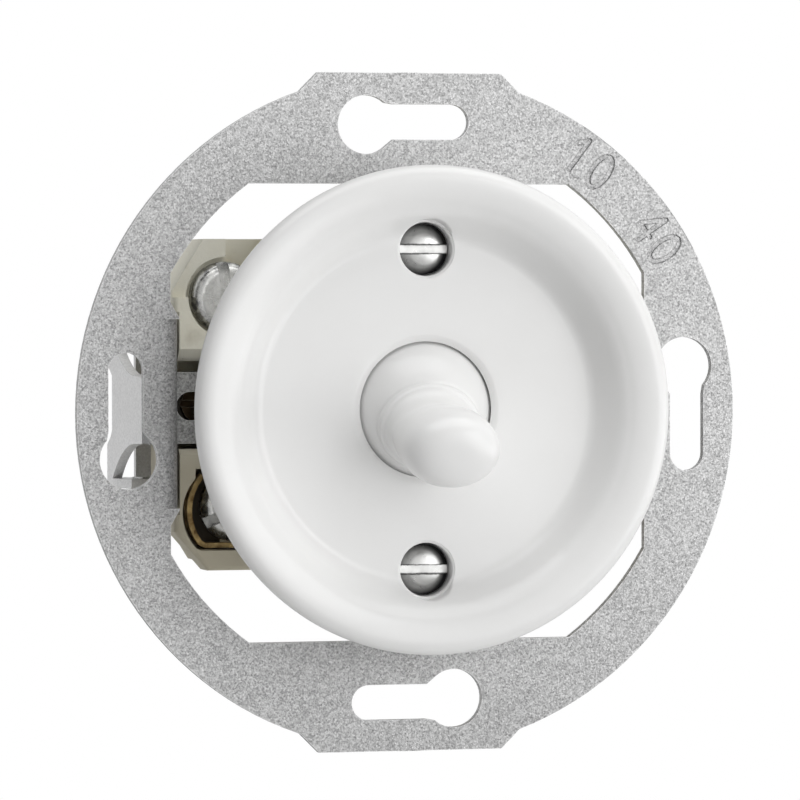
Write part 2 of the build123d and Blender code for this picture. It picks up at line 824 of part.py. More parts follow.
def cover_screw(z):
    seat = dish_floor_y + cover_counterbore_depth
    crown = seat - cover_head_rim - cover_head_dome
    edge = [
        Line((0, seat), (cover_head_radius, seat)),
        Line((cover_head_radius, seat), (cover_head_radius, seat - cover_head_rim)),
        ThreePointArc((cover_head_radius, seat - cover_head_rim),
                      (cover_head_radius * 0.62, crown + 0.3 * cover_head_dome), (0, crown)),
        Line((0, crown), (0, seat)),
    ]
    head = revolve(make_face(Curve() + edge), Axis.Y)
    head -= block((-cover_head_radius, cover_head_radius), (crown - 1, crown + cover_screw_slot_depth),
                  (-cover_screw_slot / 2, cover_screw_slot / 2))
    shank = rod(cover_shank_radius, seat, yoke_back + cover_screw_past_yoke)
    return Pos(0, 0, z) * (head + shank)


def grip():
    """The grip: oval sections that swell from a waist to a rounded end, along +Z from the pivot."""
    waist_at = grip_root + grip_waist_share * grip_length
    belly_at = grip_root + grip_belly_share * grip_length
    sections = [(grip_root, collar_half_width - grip_root_inset, collar_half_height - grip_root_inset)]
    neck = (grip_root + waist_at) / 2
    sections.append((neck, grip_waist_half_width + grip_neck_extra, grip_waist_half_height + grip_neck_extra))
    steps = 3
    for step in range(steps + 1):
        share = step / steps
        swell = sin(radians(90 * share))
        wide = grip_waist_half_width + swell * (grip_half_width - grip_waist_half_width)
        tall = grip_waist_half_height + swell * (grip_half_height - grip_waist_half_height)
        sections.append((waist_at + share * (belly_at - waist_at), wide, tall))
    dome = grip_root + grip_length - belly_at
    for angle in (25, 45, 62, 76, 86):
        turn = radians(angle)
        sections.append((belly_at + dome * sin(turn), grip_half_width * cos(turn), grip_half_height * cos(turn)))
    faces = [Pos(0, 0, along) * Ellipse(wide, tall) for along, wide, tall in sections]
    return loft(faces)


def lever():
    skirt = radians(skirt_angle)
    half = skirt / 2
    edge = [
        ThreePointArc((0, ball_radius), (ball_radius * sin(half), ball_radius * cos(half)),
                      (ball_radius * sin(skirt), ball_radius * cos(skirt))),
        Line((ball_radius * sin(skirt), ball_radius * cos(skirt)),
             (ball_inner_radius * sin(skirt), ball_inner_radius * cos(skirt))),
        ThreePointArc((ball_inner_radius * sin(skirt), ball_inner_radius * cos(skirt)),
                      (ball_inner_radius * sin(half), ball_inner_radius * cos(half)), (0, ball_inner_radius)),
        Line((0, ball_inner_radius), (0, ball_radius)),
    ]
    dome = revolve(Plane.XZ * make_face(Curve() + edge), Axis.Z)
    collar = extrude(Pos(0, 0, ball_inner_radius + 0.5) * Ellipse(collar_half_width, collar_half_height),
                     collar_front - ball_inner_radius - 0.5)
    collar = fillet(collar.edges().group_by(Axis.Z)[-1], collar_bead)
    body = dome + collar + grip()
    body -= Pos(0, 0, stem_end / 2) * Cylinder(stem_radius, stem_end)
    return along_lever(body)


def lever_stem():
    return along_lever(Pos(0, 0, (hub_radius + stem_end) / 2) * Cylinder(stem_radius, stem_end - hub_radius))


def lever_hub():
    hub = Rot(0, 90, 0) * Cylinder(hub_radius, 2 * hub_half_width)
    tail = block((-tail_half_width, tail_half_width), (-tail_half_thickness, tail_half_thickness),
                 (-tail_length, 0))
    drive = Pos(0, 0, -drive_distance) * Rot(0, 90, 0) * Cylinder(drive_radius, 2 * tail_half_width)
    nose = Pos(0, 0, -tail_length - nose_length / 2) * Cylinder(nose_radius, nose_length)
    body = hub + tail + drive + nose
    body -= Rot(0, 90, 0) * Cylinder(pin_radius + pin_play, 2 * hub_half_width)
    body -= Pos(0, 0, hub_radius + stem_radius) * Cylinder(stem_radius, 2 * stem_radius)
    return along_lever(body)


def tail_end():
    """Where the tail's shoulder lies at rest, as depth and height."""
    return (pivot_y + tail_length * cos(radians(lever_tilt)), tail_length * sin(radians(lever_tilt)))


def contact_slider():
    face = Rectangle(2 * slider_half_width, 2 * slider_half_height)
    slot = Rectangle(2 * slider_slot_half_width, 2 * (drive_radius + drive_play))
    body = plate(face - slot, slider_front, slider_back)
    rib = block((slider_half_width - slider_rib, slider_half_width),
                (yoke_back + slider_side_play, slider_front), (-slider_half_height, slider_half_height))
    for piece in both_sides(rib):
        body += piece
    return Pos(0, 0, throw_z) * body


def contact_bridge():
    face = Rectangle(2 * bridge_half_width, 2 * bridge_half_height)
    face += Rectangle(2 * bridge_eye_half_width, 2 * bridge_eye_half_height)
    face -= Rectangle(2 * slider_slot_half_width, 2 * bridge_eye_slot)
    return Pos(0, 0, throw_z) * plate(face, slider_back, bridge_back)


def bridge_rivets():
    return [rod(rivet_radius, bridge_back, bridge_back + rivet_height, side * rivet_x, throw_z)
            for side in (-1, 1)]


def toggle_spring():
    """A coil between the tail and the seat, leaning as it does with the grip down."""
    tail_y, tail_z = tail_end()
    seat_y = well_floor - seat_thickness
    length = hypot(seat_y - tail_y, tail_z) - spring_start_gap - spring_wire
    lean = degrees(atan2(tail_z, seat_y - tail_y))
    coil_path = Helix(length / spring_turns, length, spring_mean_radius)
    start = coil_path @ 0
    section = Plane(origin=start, z_dir=coil_path % 0) * Circle(spring_wire / 2)
    coil = sweep(section, path=coil_path)
    return Pos(0, seat_y - spring_wire / 2, 0) * Rot(90, 0, 0) * Rot(lean, 0, 0) * coil


def spring_seat():
    cup = rod(seat_radius, well_floor - seat_thickness, well_floor)
    return cup + rod(nose_radius, well_floor - seat_thickness - nose_length, well_floor)


def yoke_screw(z):
    head_front = base_back - yoke_screw_head_height
    head = rod(yoke_screw_head_radius, head_front, base_back)
    slot = block((-yoke_screw_head_radius, yoke_screw_head_radius),
                 (base_back - yoke_screw_head_height / 2, base_back + 1), (-0.4, 0.4))
    return Pos(0, 0, z) * (head - slot + rod(yoke_screw_radius, yoke_front, head_front))


def claw_lugs():
    """The four lugs at the back of the base, one above and one below each claw."""
    low = claw_half_height + claw_ear_play
    high = low + claw_lug_height
    lug = block((-claw_pivot_x, -rear_half_width), (claw_pivot_y - claw_lug_radius, claw_pivot_y + claw_lug_radius),
                (low, high))
    lug += Pos(-claw_pivot_x, claw_pivot_y, (low + high) / 2) * Cylinder(claw_lug_radius, claw_lug_height)
    lugs = []
    for piece in (lug, mirror(lug, Plane.XY)):
        lugs += both_sides(Pos(0, 0, -claw_drop) * piece)
    return lugs


def claw_pin_bars(radius):
    """The four stub pins that the claws turn on."""
    high = claw_half_height + claw_ear_play + claw_lug_height
    bar = Pos(-claw_pivot_x, claw_pivot_y, (claw_pin_inner + high) / 2) * Cylinder(radius, high - claw_pin_inner)
    bars = []
    for piece in (bar, mirror(bar, Plane.XY)):
        bars += both_sides(Pos(0, 0, -claw_drop) * piece)
    return bars


def claw_plate_face():
    """The claw's side plate, drawn in Y and Z: a narrow nose that flares to full height."""
    back = claw_crank_front + claw_sheet
    nose = (claw_front, claw_nose_half)
    neck = (claw_flare_start, claw_neck_half)
    shoulder = (claw_flare_end, claw_half_height)
    half = [
        Line((claw_front, 0), nose),
        Line(nose, neck),
        TangentArc(neck, shoulder, tangent=(1, 0)),
        Line(shoulder, (back, claw_half_height)),
        Line((back, claw_half_height), (back, 0)),
        Line((back, 0), (claw_front, 0)),
    ]
    upper = make_face(Curve() + half)
    face = upper + mirror(upper, Plane.XZ)
    knee = claw_window_knee
    return face - outline([
        (claw_window_front, claw_window_bottom),
        (claw_window_front, claw_window_top),
        (claw_window_front + 2 * knee, claw_window_top + knee),
        (back, claw_window_top + knee),
        (back, claw_window_bottom - claw_window_flare),
        (claw_window_front + knee, claw_window_bottom - knee),
    ])


def claw():
    """The left claw: a side plate, an inward guide, two ears and a crank arm."""
    web_out = claw_face + claw_sheet
    crank_back = claw_crank_front + claw_sheet
    side_plane = Plane(origin=(-web_out, 0, 0), x_dir=(0, 1, 0), z_dir=(1, 0, 0))
    body = extrude(side_plane * claw_plate_face(), claw_sheet)
    body += block((-claw_face, -claw_face + claw_guide_reach), (claw_guide_front, claw_guide_back),
                  (-claw_neck_half, -claw_neck_half + claw_guide_thickness))
    for low in (claw_half_height - claw_sheet, -claw_half_height):
        body += claw_ear(low, crank_back, web_out)
    body += block((-claw_crank_outer, -claw_crank_inner), (claw_crank_front, crank_back),
                  (-claw_half_height, claw_half_height))
    body -= Pos(-claw_pivot_x, claw_pivot_y, 0) * Cylinder(claw_pin_radius + claw_pin_play, 3 * claw_half_height)
    hole = Pos(-claw_screw_x - claw_hole_travel / 2, claw_screw_z + claw_drop) * SlotCenterToCenter(
        claw_hole_travel, 2 * (claw_screw_radius + claw_hole_play))
    body -= plate(hole, claw_crank_front, crank_back)
    return Pos(0, 0, -claw_drop) * body


def claw_ear(low, crank_back, web_out):
    """One ear: it joins the side plate and the crank arm and holds the pin."""
    inner = rear_half_width + claw_side_gap
    face = outline([
        (-web_out, claw_flare_end - claw_ear_slope),
        (-web_out + claw_ear_slope, claw_ear_front),
        (-inner - claw_side_gap, claw_ear_front),
        (-inner, claw_ear_front + claw_side_gap),
        (-inner, claw_crank_front - claw_side_gap),
        (-claw_crank_inner, claw_crank_front),
        (-claw_crank_inner, crank_back),
        (-web_out, crank_back),
    ])
    return Pos(0, 0, low) * extrude(face, claw_sheet)


def claw_screw():
    """The left claw screw, held between the base and the yoke and threaded into the crank."""
    head_front = claw_screw_seat - claw_screw_head_height
    head = rod(claw_screw_head_radius, head_front, claw_screw_seat, -claw_screw_x, claw_screw_z)
    slot = block((-claw_screw_head_radius, claw_screw_head_radius),
                 (head_front - 1, head_front + claw_screw_slot_depth),
                 (-claw_screw_slot / 2, claw_screw_slot / 2))
    tip = claw_crank_front + claw_sheet + claw_screw_tip
    shank = rod(claw_screw_radius, claw_screw_seat, tip, -claw_screw_x, claw_screw_z)
    return head - Pos(-claw_screw_x, 0, claw_screw_z) * slot + shank


def insert_nodes():
    """Everything that sits on the insert's own centre."""
    nodes = {
        "yoke_plate": yoke_plate(),
        "base_housing": base_housing(),
        "porcelain_cover": porcelain_cover(),
        "cover_screws": [cover_screw(end * cover_screw_z) for end in (-1, 1)],
        "lever": lever(),
        "lever_stem": lever_stem(),
        "lever_hub": lever_hub(),
        "hinge_pin": hinge_pin(),
        "contact_slider": contact_slider(),
        "contact_bridge": contact_bridge(),
        "bridge_rivets": bridge_rivets(),
        "fixed_rivets": fixed_rivets(),
        "toggle_spring": toggle_spring(),
        "spring_seat": spring_seat(),
        "yoke_screws": [yoke_screw(end * yoke_screw_z) for end in (-1, 1)],
        "claw_pins": claw_pin_bars(claw_pin_radius),
    }
    for name, side, level, foot_x, foot_z in strips():
        upper = level > 0
        nodes["contact_" + name] = fixed_contact(side, level, foot_x, foot_z)
        nodes["pillar_" + name] = pillar(side * foot_x, foot_z, upper)
        nodes["terminal_screw_" + name] = terminal_screw(side * foot_x, foot_z, upper)
    for side, shapes in (("left", lambda shape: shape), ("right", mirrored)):
        nodes["claw_" + side] = shapes(claw())
        nodes["claw_screw_" + side] = shapes(claw_screw())
        nodes["clamp_plate_" + side] = shapes(clamp_plate())
        nodes["clamp_strip_" + side] = shapes(clamp_strip())
    return nodes


def main():
    os.makedirs("parts", exist_ok=True)
    export_step(support_ring(), "parts/support_ring.step")
    for name, made in insert_nodes().items():
        pieces = made if isinstance(made, list) else [made]
        moved = [Pos(0, 0, lift) * piece for piece in pieces]
        export_step(moved[0] if len(moved) == 1 else Compound(moved), f"parts/{name}.step")


main()
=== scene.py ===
import json
import math

import bmesh
import bpy
import numpy as np
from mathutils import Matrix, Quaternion, Vector


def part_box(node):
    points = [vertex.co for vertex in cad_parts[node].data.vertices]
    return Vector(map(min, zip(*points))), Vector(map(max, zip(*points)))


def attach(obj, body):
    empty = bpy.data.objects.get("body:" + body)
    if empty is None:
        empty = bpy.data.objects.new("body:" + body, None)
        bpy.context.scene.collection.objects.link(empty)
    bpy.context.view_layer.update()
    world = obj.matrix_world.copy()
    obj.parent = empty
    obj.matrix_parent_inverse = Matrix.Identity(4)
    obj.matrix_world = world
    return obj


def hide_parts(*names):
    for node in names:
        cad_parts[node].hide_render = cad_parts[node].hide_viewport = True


mm = 0.001
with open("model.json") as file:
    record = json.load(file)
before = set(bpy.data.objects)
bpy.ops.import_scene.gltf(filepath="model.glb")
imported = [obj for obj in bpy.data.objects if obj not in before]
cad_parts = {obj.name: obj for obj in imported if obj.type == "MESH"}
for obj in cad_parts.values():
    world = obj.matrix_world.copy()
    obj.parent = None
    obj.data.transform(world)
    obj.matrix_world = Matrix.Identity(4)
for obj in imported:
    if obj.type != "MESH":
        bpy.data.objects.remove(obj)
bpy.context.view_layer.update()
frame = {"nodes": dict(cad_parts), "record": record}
nodes = frame["nodes"]
lift = 0.42  # the whole insert sits this far above the ring's centre, in mm
print("frame loaded with", len(nodes), "nodes")


def outwards(azimuth, elevation):
    turn, rise = math.radians(azimuth), math.radians(elevation)
    return Vector((math.sin(turn) * math.cos(rise), -math.cos(turn) * math.cos(rise), math.sin(rise)))


# camera at the photograph's viewing angle
view = {"azimuth": -14.88, "elevation": 1.2, "roll": -0.08, "distance": 550, "target": (-1.10, -1.0, 1.27),
        "focalPixels": 5322, "sensor": 36, "imagePixels": 800, "clipStart": 0.01, "clipEnd": 10}


def placeCamera(look):
    data = bpy.data.cameras.new("photoCamera")
    data.sensor_width = look["sensor"]
    data.lens = look["focalPixels"] * look["sensor"] / look["imagePixels"]
    data.clip_start = look["clipStart"]
    data.clip_end = look["clipEnd"]
    cam = bpy.data.objects.new("photoCamera", data)
    bpy.context.scene.collection.objects.link(cam)
    away = outwards(look["azimuth"], look["elevation"])
    roll = Quaternion((0, 0, 1), math.radians(look["roll"]))
    cam.location = (Vector(look["target"]) + away * look["distance"]) * mm
    cam.rotation_mode = "QUATERNION"
    cam.rotation_quaternion = (-away).to_track_quat("-Z", "Y") @ roll
    bpy.context.scene.camera = cam


placeCamera(view)
bpy.context.scene.view_settings.view_transform = "Standard"
print("camera placed")


# node helpers
def put(tree, kind, feeds=None, **settings):
    node = tree.nodes.new(kind)
    for key, value in settings.items():
        setattr(node, key, value)
    for key, value in (feeds or {}).items():
        if isinstance(value, bpy.types.NodeSocket):
            tree.links.new(value, node.inputs[key])
        else:
            node.inputs[key].default_value = value
    return node


def newGroup(name, inputs, outputs):
    tree = bpy.data.node_groups.new(name, "ShaderNodeTree")
    for label, value in inputs:
        socket = tree.interface.new_socket(name=label, in_out="INPUT", socket_type="NodeSocketFloat")
        socket.default_value = value
    for label in outputs:
        tree.interface.new_socket(name=label, in_out="OUTPUT", socket_type="NodeSocketFloat")
    return tree, put(tree, "NodeGroupInput").outputs, put(tree, "NodeGroupOutput").inputs


def place(tree, group, **values):
    return put(tree, "ShaderNodeGroup", values, node_tree=group).outputs


def maths(tree, operation, first, second=0.0, clamp=False):
    return put(tree, "ShaderNodeMath", {0: first, 1: second}, operation=operation, use_clamp=clamp).outputs[0]


def scaled(tree, size):
    # texture scale for features of this size in mm
    return maths(tree, "DIVIDE", 1 / mm, size)


def partCoords(tree):
    return put(tree, "ShaderNodeTexCoord").outputs["Object"]


def axesInMm(tree):
    point = put(tree, "ShaderNodeVectorMath", {0: partCoords(tree), "Scale": 1 / mm}, operation="SCALE")
    return put(tree, "ShaderNodeSeparateXYZ", {0: point.outputs[0]}).outputs


def remap(tree, value, low, high, toLow=0.0, toHigh=1.0, shape="LINEAR"):
    feeds = {"Value": value, "From Min": low, "From Max": high, "To Min": toLow, "To Max": toHigh}
    return put(tree, "ShaderNodeMapRange", feeds, interpolation_type=shape).outputs[0]


def smoothRamp(tree, value, low, high):
    return remap(tree, value, low, high, shape="SMOOTHSTEP")


def noise(tree, scale, detail=2.0, roughness=0.5, vector=None):
    vector = partCoords(tree) if vector is None else vector
    feeds = {"Vector": vector, "Scale": scale, "Detail": detail, "Roughness": roughness}
    return put(tree, "ShaderNodeTexNoise", feeds).outputs[0]


def cellsOf(tree, size):
    feeds = {"Vector": partCoords(tree), "Scale": scaled(tree, size)}
    cells = put(tree, "ShaderNodeTexVoronoi", feeds, feature="F1").outputs
    return cells["Distance"], put(tree, "ShaderNodeSeparateColor", {0: cells["Color"]}).outputs[0]


# shared effects: every size is in mm
def makeSpeckle():
    tree, given, out = newGroup("zincSpeckle", [("Size", 0.3), ("Cloud Size", 6.0)], ["Value", "Height"])
    fineShare, cloudShare = 0.75, 0.06
    fine = noise(tree, scaled(tree, given["Size"]), roughness=0.7)
    grains = cellsOf(tree, given["Size"])[1]
    cloud = noise(tree, scaled(tree, given["Cloud Size"]), detail=3.0)
    parts = [maths(tree, "MULTIPLY", fine, fineShare), maths(tree, "MULTIPLY", grains, 1 - fineShare)]
    drift = maths(tree, "MULTIPLY", maths(tree, "SUBTRACT", cloud, 0.5), cloudShare)
    tree.links.new(maths(tree, "ADD", maths(tree, "ADD", *parts), drift, True), out["Value"])
    tree.links.new(fine, out["Height"])
    return tree


def makeMottle():
    tree, given, out = newGroup("softMottle", [("Size", 5.0), ("Contrast", 1.0)], ["Value"])
    cloud = noise(tree, scaled(tree, given["Size"]), detail=4.0, roughness=0.55)
    spread = maths(tree, "MULTIPLY", maths(tree, "SUBTRACT", cloud, 0.5), given["Contrast"])
    tree.links.new(maths(tree, "ADD", maths(tree, "MULTIPLY", spread, 2.0), 0.5, True), out["Value"])
    return tree


def makePits():
    tree, given, out = newGroup("smallPits", [("Spacing", 1.0), ("Radius", 0.12)], ["Mask"])
    emptyShare = 0.62  # cells of the grid without a pit
    distance, chosen = cellsOf(tree, given["Spacing"])
    keep = maths(tree, "GREATER_THAN", chosen, emptyShare)
    edge = smoothRamp(tree, distance, given["Radius"], 0.0)
    tree.links.new(maths(tree, "MULTIPLY", edge, keep), out["Mask"])
    return tree


def makeScratches():
    inputs = [("Length", 4.0), ("Width", 0.06), ("Turn", 0.0), ("Amount", 0.4)]
    tree, given, out = newGroup("fineScratches", inputs, ["Mask"])
    turned = put(tree, "ShaderNodeVectorRotate", {"Vector": partCoords(tree), "Angle": given["Turn"]},
                 rotation_type="Y_AXIS").outputs[0]
    along, across = scaled(tree, given["Length"]), scaled(tree, given["Width"])
    stretch = put(tree, "ShaderNodeCombineXYZ", {0: along, 1: across, 2: across}).outputs[0]
    drawn = put(tree, "ShaderNodeVectorMath", {0: turned, 1: stretch}, operation="MULTIPLY").outputs[0]
    lines = noise(tree, 1.0, roughness=0.6, vector=drawn)
    tree.links.new(smoothRamp(tree, lines, maths(tree, "SUBTRACT", 1.0, given["Amount"]), 1.0), out["Mask"])
    return tree


def makeFromAxis():
    inputs = [("Centre X", 0.0), ("Centre Z", 0.0), ("Inner", 1.0), ("Outer", 2.0)]
    tree, given, out = newGroup("distanceFromAxis", inputs, ["Mask", "Distance"])
    axes = axesInMm(tree)
    sideways = maths(tree, "SUBTRACT", axes[0], given["Centre X"])
    upward = maths(tree, "SUBTRACT", axes[2], given["Centre Z"])
    squares = [maths(tree, "MULTIPLY", length, length) for length in (sideways, upward)]
    distance = maths(tree, "SQRT", maths(tree, "ADD", *squares))
    tree.links.new(smoothRamp(tree, distance, given["Inner"], given["Outer"]), out["Mask"])
    tree.links.new(distance, out["Distance"])
    return tree


# edge mask from the bevelled normal: on the ring and on the claw screws' rims it paints an edge highlight, on
# the other metals it tints the edges
def makeEdgeWearAndHighlight():
    tree, given, out = newGroup("edgeWearAndHighlight", [("Radius", 0.15), ("Strength", 3.0)], ["Mask"])
    radius = maths(tree, "MULTIPLY", given["Radius"], mm)
    rounded = put(tree, "ShaderNodeBevel", {"Radius": radius}, samples=4).outputs[0]
    plain = put(tree, "ShaderNodeNewGeometry").outputs["Normal"]
    same = put(tree, "ShaderNodeVectorMath", {0: rounded, 1: plain}, operation="DOT_PRODUCT").outputs["Value"]
    bent = maths(tree, "SUBTRACT", 1.0, same)
    tree.links.new(maths(tree, "MULTIPLY", bent, given["Strength"], True), out["Mask"])
    return tree


def makeDepth():
    tree, given, out = newGroup("depthIntoWall", [("Start", 0.0), ("End", 5.0)], ["Mask"])
    tree.links.new(smoothRamp(tree, axesInMm(tree)[1], given["Start"], given["End"]), out["Mask"])
    return tree


speckle, mottle, pits, scratches = makeSpeckle(), makeMottle(), makePits(), makeScratches()
fromAxis, edgeWearAndHighlight, depthIntoWall = makeFromAxis(), makeEdgeWearAndHighlight(), makeDepth()
print("effect groups built")


def newMaterial(name, **sockets):
    material = bpy.data.materials.new(name)
    material.use_nodes = True
    tree = material.node_tree
    shader = tree.nodes["Principled BSDF"]
    for key, value in sockets.items():
        shader.inputs[key].default_value = value
    return material, tree, shader.inputs


def blendColours(tree, mask, first, second):
    node = put(tree, "ShaderNodeMix", data_type="RGBA", blend_type="MIX")
    for index, value in ((0, mask), (6, first), (7, second)):
        if isinstance(value, bpy.types.NodeSocket):
            tree.links.new(value, node.inputs[index])
        else:
            node.inputs[index].default_value = tuple(value) + (1.0,)
    return node.outputs[2]


def setSurface(tree, into, look, colour, gloss, height):
    depth, strength = look["bump"]
    normal = put(tree, "ShaderNodeBump", {"Height": height, "Distance": depth * mm, "Strength": strength})
    tree.links.new(colour, into["Base Color"])
    tree.links.new(remap(tree, gloss, 0, 1, *look["roughness"]), into["Roughness"])
    tree.links.new(normal.outputs[0], into["Normal"])


glaze = {"light": (0.83, 0.83, 0.825), "dim": (0.795, 0.793, 0.784), "speck": (0.5, 0.47, 0.42), "ior": 1.5,
         "specular": 0.32, "coat": 0.3, "coatRoughness": 0.09, "roughness": (0.27, 0.35),
         "cloud": {"Size": 12.0, "Contrast": 0.8}, "specks": {"Spacing": 6.0, "Radius": 0.018},
         "wave": {"Size": 7.0, "Contrast": 0.6}, "bump": (0.05, 0.6)}


def makePorcelain(look):
    material, tree, into = newMaterial("glazedPorcelain", **{
        "IOR": look["ior"], "Specular IOR Level": look["specular"], "Coat Weight": look["coat"],
        "Coat Roughness": look["coatRoughness"]})
    cloud = place(tree, mottle, **look["cloud"])[0]
    wave = place(tree, mottle, **look["wave"])[0]
    colour = blendColours(tree, cloud, look["light"], look["dim"])
    colour = blendColours(tree, place(tree, pits, **look["specks"])[0], colour, look["speck"])
    setSurface(tree, into, look, colour, cloud, wave)
    return material


# painted shade darkens the lower left terminal's recess and the strap's channel; the base is also painted
# darker towards the bottom, as shade
fired = {"cream": (0.88, 0.85, 0.71), "pale": (0.94, 0.92, 0.80), "low": (0.52, 0.48, 0.37),
         "stain": (0.38, 0.32, 0.21), "pit": (0.16, 0.13, 0.09), "recessShade": (0.045, 0.032, 0.02), "ior": 1.45,
         "roughness": (0.50, 0.72), "cloud": {"Size": 6.0, "Contrast": 1.2}, "lowShadeRange": (5, -6),
         "stains": {"Size": 3.2, "Contrast": 1.0}, "stainRange": (0.62, 1.0, 0.0, 0.35),
         "pores": {"Spacing": 1.1, "Radius": 0.10}, "poreShare": 0.6,
         "recess": {"Centre X": -17.65, "Centre Z": -9.68, "Inner": 5.6, "Outer": 4.4},
         "channelRange": (5.6, 5.2), "recessShadeStart": {"Start": 1.0, "End": 3.0},
         "recessShadeEnd": {"Start": 8.0, "End": 6.0}, "recessShadeShare": 0.9, "grainScale": 3000.0, "grainDetail": 3.0,
         "bump": (0.03, 0.6)}


def makeBaseCeramic(look):
    material, tree, into = newMaterial("creamCeramic", IOR=look["ior"])
    height = axesInMm(tree)[2]
    cloud = place(tree, mottle, **look["cloud"])[0]
    stain = remap(tree, place(tree, mottle, **look["stains"])[0], *look["stainRange"])
    pores = place(tree, pits, **look["pores"])[0]
    colour = blendColours(tree, cloud, look["cream"], look["pale"])
    # painted shade: the base turns darker towards the bottom
    colour = blendColours(tree, remap(tree, height, *look["lowShadeRange"]), colour, look["low"])
    colour = blendColours(tree, stain, colour, look["stain"])
    colour = blendColours(tree, maths(tree, "MULTIPLY", pores, look["poreShare"]), colour, look["pit"])
    # painted shade in the lower terminal's recess and the strap's channel, deeper into the wall
    inRecess = place(tree, fromAxis, **look["recess"])["Mask"]
    offMiddle = maths(tree, "ABSOLUTE", maths(tree, "SUBTRACT", height, lift))
    area = maths(tree, "MAXIMUM", inRecess, remap(tree, offMiddle, *look["channelRange"]))
    depths = [place(tree, depthIntoWall, **look[end])[0] for end in ("recessShadeStart", "recessShadeEnd")]
    recessShade = maths(tree, "MULTIPLY", area, maths(tree, "MULTIPLY", *depths))
    colour = blendColours(tree, maths(tree, "MULTIPLY", recessShade, look["recessShadeShare"]), colour, look["recessShade"])
    grain = maths(tree, "SUBTRACT", noise(tree, look["grainScale"], look["grainDetail"]), pores)
    setSurface(tree, into, look, colour, cloud, grain)
    return material


# the edges are lighter, a painted edge highlight, but dark where the numbers are punched
galvanised = {"dark": (0.19, 0.19, 0.19), "light": (0.63, 0.63, 0.63), "edge": (0.74, 0.74, 0.74),
              "groove": (0.05, 0.05, 0.05), "metallic": 0.4, "roughness": (0.62, 0.40),
              "grains": {"Size": 0.2, "Cloud Size": 5.0}, "grainRange": (0.25, 0.75),
              "edgeBand": {"Radius": 0.16, "Strength": 3.0}, "numbers": [(19.44, 25.8), (26.78, 18.06)],
              "numberReach": {"Inner": 4.3, "Outer": 3.9}, "bump": (0.05, 0.7)}


def makeGalvanised(look):
    material, tree, into = newMaterial("galvanisedSheet", Metallic=look["metallic"])
    grains = place(tree, speckle, **look["grains"])
    value = remap(tree, grains["Value"], *look["grainRange"])
    near = [place(tree, fromAxis, **{"Centre X": x, "Centre Z": z}, **look["numberReach"])["Mask"]
            for x, z in look["numbers"]]
    edge = blendColours(tree, maths(tree, "MAXIMUM", *near), look["edge"], look["groove"])
    colour = blendColours(tree, value, look["dark"], look["light"])
    # painted edge highlight: the sheet's edges are lighter
    colour = blendColours(tree, place(tree, edgeWearAndHighlight, **look["edgeBand"])[0], colour, edge)
    setSurface(tree, into, look, colour, value, grains["Height"])
    return material


plated = {"grains": {"Size": 0.22, "Cloud Size": 3.0}, "grainRange": (0.28, 0.72), "scratchShare": 0.75,
          "scratches": {"Length": 3.0, "Width": 0.07, "Turn": 0.3, "Amount": 0.42}, "bump": (0.02, 0.6)}
zincPlate = {**plated, "dark": (0.17, 0.17, 0.165), "light": (0.54, 0.54, 0.53),
             "scratch": (0.80, 0.80, 0.78), "burr": (0.9, 0.9, 0.88), "metallic": 0.8,
             "roughness": (0.50, 0.32), "edgeBand": {"Radius": 0.14, "Strength": 3.0}}
clawPlate = {**plated, "dark": (0.66, 0.66, 0.66), "light": (0.82, 0.82, 0.82),
             "scratch": (0.86, 0.86, 0.86), "burr": (0.42, 0.42, 0.42), "metallic": 0.35,
             "roughness": (0.54, 0.36), "edgeBand": {"Radius": 0.12, "Strength": 3.0}}


def makeZincSteel(name, look):
    material, tree, into = newMaterial(name, Metallic=look["metallic"])
    grains = place(tree, speckle, **look["grains"])
    value = remap(tree, grains["Value"], *look["grainRange"])
    lines = maths(tree, "MULTIPLY", place(tree, scratches, **look["scratches"])[0], look["scratchShare"])
    colour = blendColours(tree, value, look["dark"], look["light"])
    colour = blendColours(tree, lines, colour, look["scratch"])
    colour = blendColours(tree, place(tree, edgeWearAndHighlight, **look["edgeBand"])[0], colour, look["burr"])
    setSurface(tree, into, look, colour, value, grains["Height"])
    return material


# terminal screws: the heads darken towards their rounded rim, painted shade
nickel = {"bright": (0.86, 0.86, 0.84), "worn": (0.55, 0.55, 0.53), "dark": (0.10, 0.10, 0.10),
          "metallic": 0.9, "roughness": (0.16, 0.38), "bump": (0.01, 0.5),
          "head": {"Inner": 2.2, "Outer": 3.3}, "cloud": {"Size": 0.9, "Contrast": 1.6},
          "scratches": {"Length": 1.6, "Width": 0.05, "Turn": 0.9, "Amount": 0.44}, "scratchShare": 0.7}


def makeScrewMetal(name, look, centreX, centreZ):
    material, tree, into = newMaterial(name, Metallic=look["metallic"])
    ring = place(tree, fromAxis, **{"Centre X": centreX, "Centre Z": centreZ}, **look["head"])["Mask"]
    cloud = place(tree, mottle, **look["cloud"])[0]
    lines = place(tree, scratches, **look["scratches"])[0]
    face = blendColours(tree, cloud, look["bright"], look["worn"])
    face = blendColours(tree, maths(tree, "MULTIPLY", lines, look["scratchShare"]), face, look["bright"])
    # the outer ring is painted shade
    colour = blendColours(tree, ring, face, blendColours(tree, cloud, look["dark"], look["worn"]))
    setSurface(tree, into, look, colour, cloud, lines)
    return material


brassCommon = {"cloud": {"Size": 1.6, "Contrast": 1.5}, "edgeBand": {"Radius": 0.14, "Strength": 3.0},
             "scratches": {"Length": 3.0, "Width": 0.08, "Turn": 1.4, "Amount": 0.45},
             "metallic": 0.9, "bump": (0.02, 0.5)}
bareBrass = {**brassCommon, "clean": (0.66, 0.49, 0.22), "dull": (0.17, 0.105, 0.045),
             "edge": (0.10, 0.06, 0.03), "roughness": (0.24, 0.52)}
